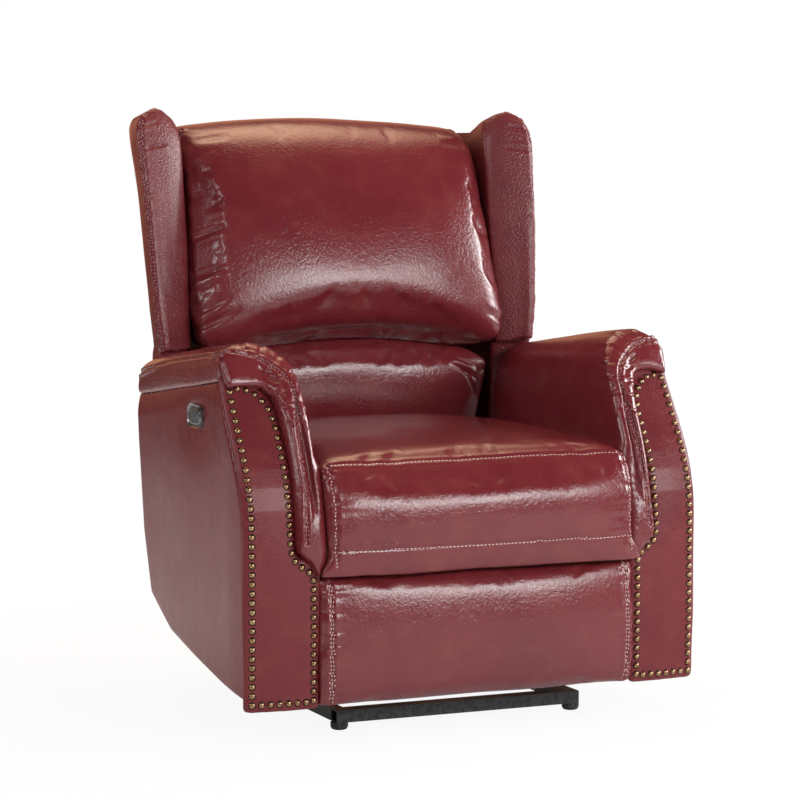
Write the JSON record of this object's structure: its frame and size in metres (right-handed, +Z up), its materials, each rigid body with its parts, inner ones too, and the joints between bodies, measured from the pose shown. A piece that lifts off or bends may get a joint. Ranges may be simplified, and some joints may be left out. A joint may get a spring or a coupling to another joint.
{
  "type": "wingback power recliner",
  "caption": "Wingback power recliner in smooth leather with nail-trimmed arms, a reclining back and a footrest on a folding linkage.",
  "frame": {"origin": "on the floor, under the middle of the closed chair's length and width", "axes": "+Z up, -Y towards the front, the way a sitter faces, +X to the sitter's left, which is the side without the switch"},
  "size_m": [0.78, 0.8327, 0.9806],
  "materials": {
    "leather": "smooth glossy burgundy leather with a fine grain",
    "pebbled_leather": "pebbled burgundy leather with a satin gloss",
    "black_steel": "satin black powder coat",
    "zinc_steel": "zinc-plated steel strip",
    "antique_brass": "darkened antique brass nail heads",
    "board": "plain plywood and softwood",
    "dark_plastic": "gunmetal-coloured switch plastic",
    "motor_plastic": "fine-textured black plastic"
  },
  "bodies": {
    "base": {"base_rail_left": "black_steel", "base_rail_right": "black_steel", "front_crossbar": "black_steel", "rear_crossbar": "black_steel", "glide_front_left": "black_steel", "glide_front_right": "black_steel", "glide_rear_left": "black_steel", "glide_rear_right": "black_steel", "tilt_bracket_left": "black_steel", "tilt_bracket_right": "black_steel"},
    "seat": {"side_plate_left": "zinc_steel", "side_plate_right": "zinc_steel", "arm_bracket_left": "zinc_steel", "arm_bracket_right": "zinc_steel", "back_hinge_pin_left": "zinc_steel", "back_hinge_pin_right": "zinc_steel", "cross_tube": "zinc_steel", "actuator_track": "zinc_steel", "actuator_motor": "motor_plastic", "power_inlet": "motor_plastic", "seat_frame": "board", "seat_springs": "zinc_steel", "seat_cushion": "leather", "arm_front_panel_left": "leather", "arm_front_panel_right": "leather", "nail_trim_left": "antique_brass", "nail_trim_right": "antique_brass", "arm_pad_left": "leather", "arm_pad_right": "leather", "arm_side_panel_left": "leather", "arm_side_panel_right": "leather", "arm_frame_left": "board", "arm_frame_right": "board", "control_bezel": "dark_plastic"},
    "back": {"back_frame": "board", "back_bracket_left": "zinc_steel", "back_bracket_right": "zinc_steel", "back_panel": "leather", "back_cushion": "leather", "lumbar_cushion": "leather", "wing_left": "pebbled_leather", "wing_right": "pebbled_leather"},
    "drive": {"drive_tube": "zinc_steel", "swing_link_left": "zinc_steel", "swing_link_right": "zinc_steel"},
    "reach": {"reach_link_left": "zinc_steel", "reach_link_right": "zinc_steel", "stabilizer_rod": "zinc_steel"},
    "footrest": {"footrest_bracket_left": "zinc_steel", "footrest_bracket_right": "zinc_steel", "footrest_board": "board", "footrest_pad": "leather"},
    "guide_links": {"guide_link_left": "zinc_steel", "guide_link_right": "zinc_steel"},
    "control_links": {"control_link_left": "zinc_steel", "control_link_right": "zinc_steel"},
    "slider": {"actuator_slider": "motor_plastic"},
    "open_press": {"open_button": "dark_plastic"},
    "close_press": {"close_button": "dark_plastic"}
  },
  "joints": [
    {"name": "back_recline", "type": "hinge", "parent": "seat", "child": "back", "pos_m": [0, 0.2056, 0.256], "axis": [-1, 0, 0], "range_deg": [0, 35]},
    {"name": "seat_tilt", "type": "hinge", "parent": "base", "child": "seat", "pos_m": [0, -0.0794, 0.104], "axis": [-1, 0, 0], "range_deg": [0, 5.05]},
    {"name": "footrest_swing", "type": "hinge", "parent": "seat", "child": "drive", "pos_m": [0, -0.2494, 0.23], "axis": [-1, 0, 0], "range_deg": [0, 118.5]},
    {"name": "reach_fold", "type": "hinge", "parent": "drive", "child": "reach", "pos_m": [0, -0.17142, 0.07222], "axis": [1, 0, 0], "range_deg": [0, 134]},
    {"name": "footrest_tilt", "type": "hinge", "parent": "reach", "child": "footrest", "pos_m": [0, -0.31124, 0.17912], "axis": [-1, 0, 0], "range_deg": [0, 103]},
    {"name": "guide_swing", "type": "hinge", "parent": "seat", "child": "guide_links", "pos_m": [0, -0.2857, 0.2411], "axis": [-1, 0, 0], "range_deg": [0, 122.3]},
    {"name": "control_swing", "type": "hinge", "parent": "footrest", "child": "control_links", "pos_m": [0, -0.30974, 0.20512], "axis": [1, 0, 0], "range_deg": [0, 104.2]},
    {"name": "slider_travel", "type": "slide", "parent": "seat", "child": "slider", "axis": [0, -1, 0], "range_m": [0, 0.105]},
    {"name": "open_button_press", "type": "slide", "parent": "seat", "child": "open_press", "axis": [1, 0, 0], "range_m": [0, 0.002], "stiffness_N_per_m": 400},
    {"name": "close_button_press", "type": "slide", "parent": "seat", "child": "close_press", "axis": [1, 0, 0], "range_m": [0, 0.002], "stiffness_N_per_m": 400}
  ],
  "couplings": [
    {"joint": "seat_tilt", "follows": "back_recline", "ratio": 0.14286},
    {"joint": "reach_fold", "follows": "footrest_swing", "ratio": 1.103},
    {"joint": "footrest_tilt", "follows": "footrest_swing", "ratio": 0.8461},
    {"joint": "guide_swing", "follows": "footrest_swing", "ratio": 1.0065},
    {"joint": "control_swing", "follows": "footrest_swing", "ratio": 0.8563},
    {"joint": "slider_travel", "follows": "footrest_swing", "m_per_rad": 0.04944}
  ]
}
